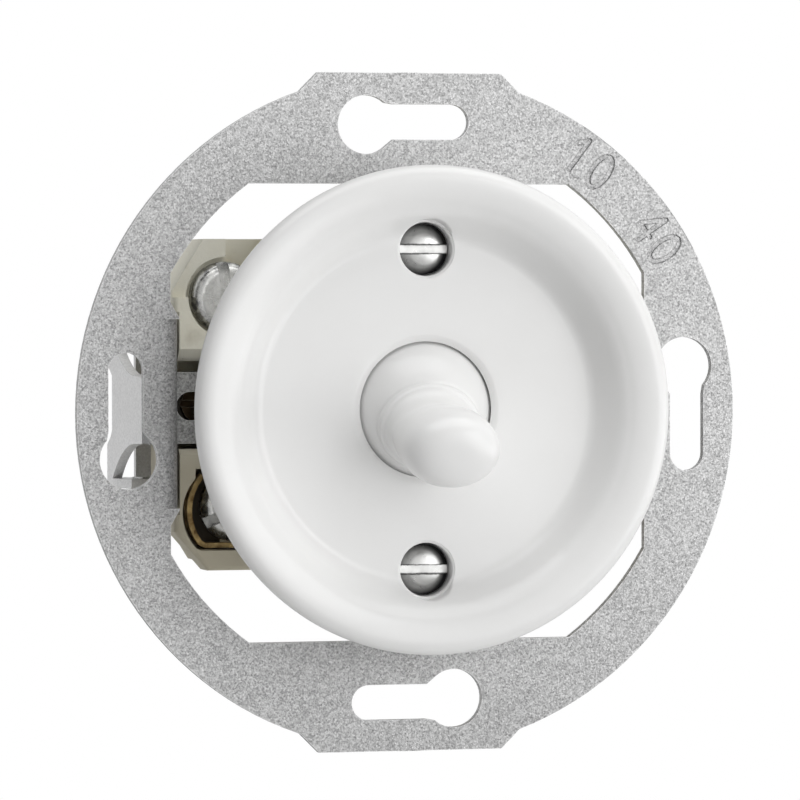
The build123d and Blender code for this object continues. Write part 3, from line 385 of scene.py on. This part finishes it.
# claw screw heads deep in their bores: the near-black colours are painted shade, and the lighter edge colour
# is a painted highlight on the rim
shadedBrass = {**brassCommon, "clean": (0.10, 0.065, 0.035), "dull": (0.03, 0.02, 0.012),
             "edge": (0.40, 0.36, 0.28), "roughness": (0.32, 0.60)}


def makeBrass(name, look):
    material, tree, into = newMaterial(name, Metallic=look["metallic"])
    cloud = place(tree, mottle, **look["cloud"])[0]
    colour = blendColours(tree, cloud, look["clean"], look["dull"])
    colour = blendColours(tree, place(tree, scratches, **look["scratches"])[0], colour, look["clean"])
    colour = blendColours(tree, place(tree, edgeWearAndHighlight, **look["edgeBand"])[0], colour, look["edge"])
    setSurface(tree, into, look, colour, cloud, cloud)
    return material


moulding = {"body": (0.055, 0.028, 0.016), "flow": (0.09, 0.048, 0.028), "ior": 1.5,
            "roughness": (0.36, 0.50), "bump": (0.01, 0.4), "cloud": {"Size": 2.5, "Contrast": 1.2},
            "grainScale": 4000.0}


def makeInsulator(look):
    material, tree, into = newMaterial("brownMoulding", IOR=look["ior"])
    cloud = place(tree, mottle, **look["cloud"])[0]
    colour = blendColours(tree, cloud, look["body"], look["flow"])
    grain = noise(tree, look["grainScale"])
    setSurface(tree, into, look, colour, cloud, grain)
    return material


finishes = {"porcelain": makePorcelain(glaze), "base_ceramic": makeBaseCeramic(fired),
            "galvanised_sheet": makeGalvanised(galvanised), "brass": makeBrass("bareBrass", bareBrass),
            "zinc_steel": makeZincSteel("zincSteel", zincPlate), "insulator": makeInsulator(moulding)}


def dress(piece, material):
    piece.data.materials.clear()
    piece.data.materials.append(material)


def centreOf(node):
    low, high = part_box(node)
    return [(low[axis] + high[axis]) / 2 / mm for axis in (0, 2)]


for part in frame["record"]["subparts"]:
    slotName, nodeName = part["material_slot"], part["node"]
    if slotName in finishes:
        dress(nodes[nodeName], finishes[slotName])
    elif nodeName != "cover_screws":
        dress(nodes[nodeName], makeScrewMetal(nodeName + "Metal", nickel, *centreOf(nodeName)))
for side in ("left", "right"):
    dress(nodes["claw_" + side], makeZincSteel("clawSteel_" + side, clawPlate))
    dress(nodes["claw_screw_" + side], makeBrass("clawScrewBrass_" + side, shadedBrass))
print("node finishes assigned")


def splineThrough(points, slopes, count):
    pts = np.array(points, dtype=float)
    gaps = np.linalg.norm(np.diff(pts, axis=0), axis=1)
    knots = np.concatenate([[0], np.cumsum(gaps)])
    size = len(pts)
    matrix, right = np.zeros((size, size)), np.zeros((size, 2))
    matrix[0, 0] = matrix[-1, -1] = 1
    for end, slope in zip((0, -1), slopes):
        right[end] = np.array(slope) / np.linalg.norm(slope)
    for k in range(1, size - 1):
        before, after = gaps[k - 1], gaps[k]
        matrix[k, k - 1:k + 2] = after, 2 * (before + after), before
        right[k] = 3 * (after * (pts[k] - pts[k - 1]) / before + before * (pts[k + 1] - pts[k]) / after)
    tangents = np.linalg.solve(matrix, right)
    found = []
    for run in np.linspace(0, knots[-1], count):
        k = min(int(np.searchsorted(knots, run, side="right")) - 1, size - 2)
        t = (run - knots[k]) / gaps[k]
        a, b = 2 * t ** 3 - 3 * t ** 2 + 1, t ** 3 - 2 * t ** 2 + t
        c, d = -2 * t ** 3 + 3 * t ** 2, t ** 3 - t ** 2
        bend = gaps[k] * (b * tangents[k] + d * tangents[k + 1])
        found.append(tuple(a * pts[k] + c * pts[k + 1] + bend))
    return found


def joinRings(bm, rings, skipped=()):
    for first, second in zip(rings, rings[1:]):
        for k in range(len(first)):
            if k not in skipped:
                n = (k + 1) % len(first)
                bm.faces.new((first[k], first[n], second[n], second[k]))


def anglesRound(count):
    return [2 * math.pi * k / count for k in range(count)]


weldDistance = 0.001  # mm


def addMesh(name, bm):
    mesh = bpy.data.meshes.new(name)
    bm.to_mesh(mesh)
    bm.free()
    piece = bpy.data.objects.new(name, mesh)
    bpy.context.scene.collection.objects.link(piece)
    return piece


def finishMesh(name, bm, sharpAngle, body, replaced, slot):
    bmesh.ops.remove_doubles(bm, verts=bm.verts, dist=weldDistance * mm)
    bmesh.ops.recalc_face_normals(bm, faces=bm.faces)
    for face in bm.faces:
        face.smooth = True
    for edge in bm.edges:
        if len(edge.link_faces) == 2 and edge.calc_face_angle(0) > math.radians(sharpAngle):
            edge.smooth = False
    piece = addMesh(name, bm)
    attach(piece, body)
    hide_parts(replaced)
    dress(piece, finishes[slot])


# porcelain dish: a lathed mesh with a ring grid let in round each screw
dish = {"turns": 240, "sharpAngle": 50, "floor": 6.4, "floorEnd": 17.5, "floorPoints": 8, "front": -1.0,
        "rim": [(17.5, 6.4), (18.25, 6.88), (18.75, 7.58), (19.4, 8.55), (19.98, 9.42), (20.22, 9.63),
                (20.75, 9.94), (21.25, 10.22), (21.6, 10.37), (22.3, 10.58), (23.1, 10.73), (23.95, 10.7),
                (24.6, 10.3), (24.92, 9.6), (24.85, 8.8), (23.75, 6.6)],
        "rimSlopes": ((1, 0), (-0.35, -1)), "rimPoints": 90, "seatRadius": 8.9, "seatCentre": 0.5,
        "seatSteps": 8, "lipOuter": 6.96, "lipWidth": 0.78, "lipPower": 1.6, "lipSteps": 6,
        "sideShares": (0.02, 0.25, 0.5, 0.75, 0.98), "footOuter": 21.8, "footInner": 19.7,
        "footHeight": -0.8, "footRises": (0.2, 1.5, 2.9), "backHeight": 3.0, "backRadii": (11.8, 10.2, 8.9),
        # the screw holes, and the block of the lathed mesh that each ring grid takes the place of
        "screwZ": 16.4, "holeRadius": 2.75, "holeFloor": 4.0, "holeWall": 0.8, "floorRound": 0.1,
        "edgeRound": 0.22, "edgeSteps": 5, "shankRadius": 1.5, "spotRadius": 2.98, "spotSlope": 20.0,
        "spotBlend": 0.3, "blockHalf": 10, "blockInner": 12.1, "blockOuter": 20.6, "blockSteps": 17,
        "blockGap": 0.15, "gridSteps": 14, "gridPower": 1.7, "backInner": 13.4, "backOuter": 19.2,
        "backSteps": 6, "bossRadius": 3.9, "bossEnd": -2.0, "bossSunk": 0.3, "bossPoints": 64}


def smallest(first, second, blend):
    share = max(blend - abs(first - second), 0) / blend
    return min(first, second) - share * share * blend / 4


def buildDish(size):
    bm = bmesh.new()
    rimCurve = splineThrough(size["rim"], size["rimSlopes"], size["rimPoints"])
    widest = max(range(len(rimCurve)), key=lambda k: rimCurve[k][0])
    wallR, wallH = zip(*rimCurve[:widest + 1])

    def surface(r):
        return size["floor"] if r <= size["floorEnd"] else float(np.interp(r, wallR, wallH))

    def vertex(x, z, h):
        return bm.verts.new((x * mm, (size["front"] - h) * mm, (z + lift) * mm))

    def circle(r, h, angles, centreZ=0.0):
        return [vertex(r * math.cos(a), centreZ + r * math.sin(a), h) for a in angles]

    # the lathed outline as radius and height, from the seat outwards and back behind
    backAngle = math.acos((size["backHeight"] - size["seatCentre"]) / size["seatRadius"])
    lipAngle = math.asin(size["lipOuter"] / size["seatRadius"])
    profile = []
    for k in range(size["seatSteps"] + 1):
        a = backAngle + (lipAngle - backAngle) * k / size["seatSteps"]
        h = size["seatCentre"] + size["seatRadius"] * math.cos(a)
        profile.append((size["seatRadius"] * math.sin(a), h))
    lipR, lipH = profile[-1]
    for k in range(1, size["lipSteps"] + 1):
        t = k / size["lipSteps"]
        h = lipH + (size["floor"] - lipH) * (1 - (1 - t) ** size["lipPower"])
        profile.append((lipR + size["lipWidth"] * t, h))
    floorRadii = np.linspace(profile[-1][0], size["blockInner"], size["floorPoints"])[1:-1]
    profile += [(float(r), size["floor"]) for r in floorRadii]
    frontStart = len(profile)
    frontRadii = np.linspace(size["blockInner"], size["blockOuter"], size["blockSteps"] + 1)
    profile += [(float(r), surface(float(r))) for r in frontRadii]
    frontEnd = len(profile) - 1
    profile += [point for point in rimCurve if point[0] > size["blockOuter"] + size["blockGap"]]
    underR, underH = profile[-1]
    profile += [(underR + (size["footOuter"] - underR) * t, underH + (size["footHeight"] - underH) * t)
                for t in size["sideShares"]]
    profile += [(size["footOuter"], size["footHeight"]), (size["footInner"], size["footHeight"])]
    profile += [(size["footInner"], h) for h in (*size["footRises"], size["backHeight"])]
    backStart = len(profile)
    backRadii = np.linspace(size["backOuter"], size["backInner"], size["blockSteps"] + 1)
    profile += [(float(r), size["backHeight"]) for r in backRadii]
    backEnd = len(profile) - 1
    profile += [(r, size["backHeight"]) for r in size["backRadii"]]

    turns, half = size["turns"], size["blockHalf"]
    rows = [circle(r, h, anglesRound(turns)) for r, h in profile]
    middles = {turns // 4: 1, 3 * turns // 4: -1}
    columns = {k for middle in middles for k in range(middle - half, middle + half)}
    for j, row in enumerate(rows):
        inBlock = frontStart <= j < frontEnd or backStart <= j < backEnd
        joinRings(bm, [row, rows[(j + 1) % len(rows)]], columns if inBlock else ())

    def blockLoop(first, last, middle):
        step = 1 if last > first else -1
        loop = [rows[first][middle + k] for k in range(-half, half)]
        loop += [rows[j][middle + half] for j in range(first, last, step)]
        loop += [rows[last][middle + k] for k in range(half, -half, -1)]
        loop += [rows[j][middle - half] for j in range(last, first, -step)]
        return loop, [(v.co.x / mm, v.co.z / mm - lift) for v in loop]

    for middle, side in middles.items():
        centreZ = side * size["screwZ"]
        outer, flat = blockLoop(frontStart, frontEnd, middle)
        angles = [math.atan2(z - centreZ, x) for x, z in flat]

        def height(x, z):
            away = math.hypot(x, z - centreZ)
            spot = size["floor"] + max(0, away - size["spotRadius"]) * size["spotSlope"]
            return smallest(surface(math.hypot(x, z)), spot, size["spotBlend"])

        def drawnIn(points, radius, t):
            return [(x + (radius * math.cos(a) - x) * t, z + (centreZ + radius * math.sin(a) - z) * t)
                    for (x, z), a in zip(points, angles)]

        # from the block over the rounded edge, down the hole and through to the back
        rings = [outer]
        for k in range(1, size["gridSteps"] + 1):
            t = 1 - (1 - k / size["gridSteps"]) ** size["gridPower"]
            points = drawnIn(flat, size["holeRadius"] + size["edgeRound"], t)
            rings.append([vertex(x, z, height(x, z)) for x, z in points])
        edgeHeights = [(size["front"] * mm - v.co.y) / mm for v in rings[-1]]
        for k in range(1, size["edgeSteps"] + 1):
            turn = math.radians(90 * k / size["edgeSteps"])
            r = size["holeRadius"] + size["edgeRound"] * (1 - math.sin(turn))
            drop = size["edgeRound"] * (1 - math.cos(turn))
            rings.append([vertex(r * math.cos(a), centreZ + r * math.sin(a), h - drop)
                          for a, h in zip(angles, edgeHeights)])
        for r, h in ((size["holeRadius"], size["floor"] - size["holeWall"]),
                     (size["holeRadius"], size["holeFloor"] + size["floorRound"]),
                     (size["holeRadius"] - size["floorRound"], size["holeFloor"]),
                     (size["shankRadius"], size["holeFloor"]), (size["shankRadius"], size["backHeight"])):
            rings.append(circle(r, h, angles, centreZ))
        joinRings(bm, rings)
        back, backFlat = blockLoop(backEnd, backStart, middle)
        backRings = [back]
        for k in range(1, size["backSteps"]):
            points = drawnIn(backFlat, size["shankRadius"], k / size["backSteps"])
            backRings.append([vertex(x, z, size["backHeight"]) for x, z in points])
        joinRings(bm, backRings + rings[-1:])
        sunk = size["backHeight"] + size["bossSunk"]
        corners = ((size["bossRadius"], sunk), (size["bossRadius"], size["bossEnd"]),
                   (size["shankRadius"], size["bossEnd"]), (size["shankRadius"], sunk))
        boss = [circle(r, h, anglesRound(size["bossPoints"]), centreZ) for r, h in corners]
        joinRings(bm, boss + boss[:1])
    finishMesh("porcelainDish", bm, size["sharpAngle"], "insert", "porcelain_cover", "porcelain")


buildDish(dish)
print("porcelain dish built")


# lever: oval rings along its own tilted axis; the neck lists reach, half width and half height
handle = {"tilt": 13.7, "pivotY": -1.5, "points": 128, "sharpAngle": 60, "ball": 8.6, "ballInner": 6.25,
          "ballSteps": 30, "ballPower": 0.8, "skirt": 68, "skirtSteps": 11, "bore": 1.5, "boreEnd": 13.0,
          "collarWide": 5.3, "collarTall": 4.55, "collarFront": 7.95, "collarBead": 0.4, "beadSteps": 6,
          "collarFoot": 0.22, "footSteps": 4,
          "neck": [(7.95, 4.9, 4.15), (8.4, 4.64, 3.7), (9.1, 4.53, 3.32), (9.9, 4.6, 3.18),
                   (11.2, 4.82, 3.36), (12.8, 5.03, 3.74), (14.5, 5.1, 3.98)],
          "neckSlopes": ((0.5, -1), (1, 0)), "neckSteps": 39, "length": 18.9, "endPower": 3.0,
          "endSteps": 24}


def buildLever(size):
    bm = bmesh.new()
    turn = math.radians(90 + size["tilt"])
    up = Vector((0, math.cos(turn), math.sin(turn)))
    along = Vector((0, -math.sin(turn), math.cos(turn)))
    pivot = Vector((0, size["pivotY"], lift))
    angles = anglesRound(size["points"])

    def ringOf(wide, tall, reaches):
        row = []
        for a, s in zip(angles, reaches):
            point = pivot + Vector((wide * math.cos(a), 0, 0)) + up * (tall * math.sin(a)) + along * s
            row.append(bm.verts.new(point * mm))
        return row

    def flatRing(wide, tall, s):
        return ringOf(wide, tall, [s] * len(angles))

    def onBall(wide, tall):
        squares = [(wide * math.cos(a)) ** 2 + (tall * math.sin(a)) ** 2 for a in angles]
        return [math.sqrt(max(size["ball"] ** 2 - square, 0)) for square in squares]

    skirt = math.radians(size["skirt"])
    boreAngle = math.asin(size["bore"] / size["ballInner"])
    rings = [flatRing(size["bore"], size["bore"], size["boreEnd"])]
    for k in range(size["skirtSteps"] + 1):  # inner face of the skirt, from the stem's bore outwards
        a = boreAngle + (skirt - boreAngle) * k / size["skirtSteps"]
        r = size["ballInner"] * math.sin(a)
        rings.append(flatRing(r, r, size["ballInner"] * math.cos(a)))
    footWide, footTall = size["collarWide"] + size["collarFoot"], size["collarTall"] + size["collarFoot"]
    edge = size["ball"] * math.sin(skirt)
    for k in range(size["ballSteps"] + 1):  # the ball, from the skirt's edge to the collar
        t = (k / size["ballSteps"]) ** size["ballPower"]
        wide, tall = edge + (footWide - edge) * t, edge + (footTall - edge) * t
        rings.append(ringOf(wide, tall, onBall(wide, tall)))
    foot = onBall(footWide, footTall)
    for k in range(1, size["footSteps"] + 1):  # hollow round at the collar's foot
        turnIn = math.radians(90 * k / size["footSteps"])
        inset = size["collarFoot"] * math.sin(turnIn)
        rise = size["collarFoot"] * (1 - math.cos(turnIn))
        highest = size["collarFront"] - size["collarBead"]
        rings.append(ringOf(footWide - inset, footTall - inset, [min(s + rise, highest) for s in foot]))
    for k in range(size["beadSteps"] + 1):  # rounded front edge of the collar
        turnIn = math.radians(90 * k / size["beadSteps"])
        inset = size["collarBead"] * (1 - math.cos(turnIn))
        s = size["collarFront"] - size["collarBead"] * (1 - math.sin(turnIn))
        rings.append(flatRing(size["collarWide"] - inset, size["collarTall"] - inset, s))
    neckStart, bellyAt = size["neck"][0][0], size["neck"][-1][0]
    curves = [splineThrough([(point[0], point[side]) for point in size["neck"]], size["neckSlopes"],
                            size["neckSteps"] + 1) for side in (1, 2)]
    for k in range(1, size["neckSteps"] + 1):
        s = neckStart + (bellyAt - neckStart) * k / size["neckSteps"]
        wide, tall = [float(np.interp(s, *zip(*curve))) for curve in curves]
        rings.append(flatRing(wide, tall, s))
    bellyWide, bellyTall = size["neck"][-1][1:]
    for k in range(1, size["endSteps"]):  # the blunt end
        a = math.radians(90 * k / size["endSteps"])
        share, reach = [part ** (2 / size["endPower"]) for part in (math.cos(a), math.sin(a))]
        s = bellyAt + (size["length"] - bellyAt) * reach
        rings.append(flatRing(bellyWide * share, bellyTall * share, s))
    joinRings(bm, rings)
    for row, s in ((rings[0], size["boreEnd"]), (rings[-1], size["length"])):
        tip = bm.verts.new((pivot + along * s) * mm)
        for k in range(len(row)):
            bm.faces.new((row[k], row[(k + 1) % len(row)], tip))
    finishMesh("porcelainLever", bm, size["sharpAngle"], "toggle", "lever", "porcelain")


buildLever(handle)
print("porcelain lever built")


# cover screws: bright worn flats with a painted glint in the grey ring; the grey ring darkening to a
# near-black rim, heavier on the right, and the dark slot edges are painted shade
coverScrews = {"bright": (0.55, 0.55, 0.54), "ring": (0.30, 0.30, 0.295), "rim": (0.025, 0.025, 0.025),
               "metallic": 0.9, "roughness": (0.25, 0.40), "ringRange": (1.5, 1.75), "rimRange": (1.9, 2.55),
               "rimShadeLean": 0.16, "cloud": {"Size": 0.8, "Contrast": 1.2}, "dullShare": 0.3, "glintShare": 0.35,
               "scratches": {"Length": 1.4, "Width": 0.05, "Turn": 0.2, "Amount": 0.45}, "slotHalf": 0.47,
               "slotBlend": 0.04, "wobble": {"Size": 0.5, "Contrast": 1.0}, "wobbleShare": 0.08,
               "lineRange": (0.17, 0.06), "lineShare": 0.92, "bump": (0.01, 0.5)}


def makeCoverScrewMetal(look):
    material, tree, into = newMaterial("coverScrewMetal", Metallic=look["metallic"])
    axes = axesInMm(tree)
    centres = [side * dish["screwZ"] + lift for side in (1, -1)]
    distances = [place(tree, fromAxis, **{"Centre X": 0.0, "Centre Z": z})["Distance"] for z in centres]
    offsets = [maths(tree, "ABSOLUTE", maths(tree, "SUBTRACT", axes[2], z)) for z in centres]
    distance, offset = maths(tree, "MINIMUM", *distances), maths(tree, "MINIMUM", *offsets)
    shade = maths(tree, "ADD", distance, maths(tree, "MULTIPLY", axes[0], look["rimShadeLean"]))
    cloud = place(tree, mottle, **look["cloud"])[0]
    lines = place(tree, scratches, **look["scratches"])[0]
    dull = maths(tree, "MULTIPLY", maths(tree, "ADD", cloud, lines), look["dullShare"])
    bright = blendColours(tree, dull, look["bright"], look["ring"])
    glint = maths(tree, "MULTIPLY", cloud, look["glintShare"])
    ring = blendColours(tree, glint, look["ring"], look["bright"])
    colour = blendColours(tree, remap(tree, distance, *look["ringRange"]), bright, ring)
    # painted shade on the rounded rim, heavier on the right
    colour = blendColours(tree, remap(tree, shade, *look["rimRange"]), colour, look["rim"])
    inSlot = remap(tree, offset, look["slotHalf"], look["slotHalf"] - look["slotBlend"])
    colour = blendColours(tree, inSlot, colour, bright)
    # painted shade along the slot's edges
    fromLine = maths(tree, "ABSOLUTE", maths(tree, "SUBTRACT", offset, look["slotHalf"]))
    wobble = maths(tree, "MULTIPLY", place(tree, mottle, **look["wobble"])[0], look["wobbleShare"])
    line = remap(tree, maths(tree, "ADD", fromLine, wobble), *look["lineRange"], 0.0, look["lineShare"])
    colour = blendColours(tree, line, colour, look["rim"])
    setSurface(tree, into, look, colour, cloud, lines)
    return material


dress(nodes["cover_screws"], makeCoverScrewMetal(coverScrews))
print("cover screws finished")


# studio: white surround, five large soft boxes and a pale floor that fades out
studio = {"ambient": 0.16, "boxDistance": 1100, "floorDrop": -62, "floorRadius": 235, "floorFade": 110,
          "floorSides": 96, "floorColour": (0.9, 0.9, 0.9, 1), "floorRoughness": 0.9}
softBoxes = {  # azimuth, elevation, width and height in metres, watts
    "rightBox": (38, 0, 0.6, 1.4, 6.3), "overheadBox": (10, 75, 1.4, 1.0, 8.8),
    "overLeftBox": (-62, 55, 0.8, 0.8, 0.8), "lowRightBox": (72, -18, 0.8, 0.8, 4.6),
    "frontBox": (14, 8, 0.8, 0.8, 1.5)}


def addSoftBox(name, azimuth, elevation, width, height, watts):
    data = bpy.data.lights.new(name, "AREA")
    data.shape = "RECTANGLE"
    data.size, data.size_y, data.energy = width, height, watts
    box = bpy.data.objects.new(name, data)
    bpy.context.scene.collection.objects.link(box)
    away = outwards(azimuth, elevation)
    box.location = away * studio["boxDistance"] * mm
    box.rotation_mode = "QUATERNION"
    box.rotation_quaternion = (-away).to_track_quat("-Z", "Y")


def makeStudio(look):
    world = bpy.data.worlds.new("studio")
    bpy.context.scene.world = world
    world.use_nodes = True
    tree = world.node_tree
    background = tree.nodes["Background"].inputs
    background["Color"].default_value = (1, 1, 1, 1)
    rays = put(tree, "ShaderNodeLightPath").outputs
    seen = maths(tree, "MAXIMUM", rays["Is Camera Ray"], rays["Is Transmission Ray"])
    seen = maths(tree, "MAXIMUM", seen, rays["Is Glossy Ray"])
    tree.links.new(remap(tree, seen, 0, 1, look["ambient"], 1.0), background["Strength"])
    for name, values in softBoxes.items():
        addSoftBox(name, *values)

    bm = bmesh.new()
    radius = look["floorRadius"] * mm
    bmesh.ops.create_circle(bm, cap_ends=True, segments=look["floorSides"], radius=radius)
    floor = addMesh("paleFloor", bm)
    floor.location = (0, 0, look["floorDrop"] * mm)
    material, tree, into = newMaterial("paleFloor", **{"Base Color": look["floorColour"],
                                                       "Roughness": look["floorRoughness"]})
    away = put(tree, "ShaderNodeVectorMath", {0: partCoords(tree)}, operation="LENGTH").outputs["Value"]
    tree.links.new(smoothRamp(tree, away, radius, radius - look["floorFade"] * mm), into["Alpha"])
    dress(floor, material)


makeStudio(studio)
print("studio set")
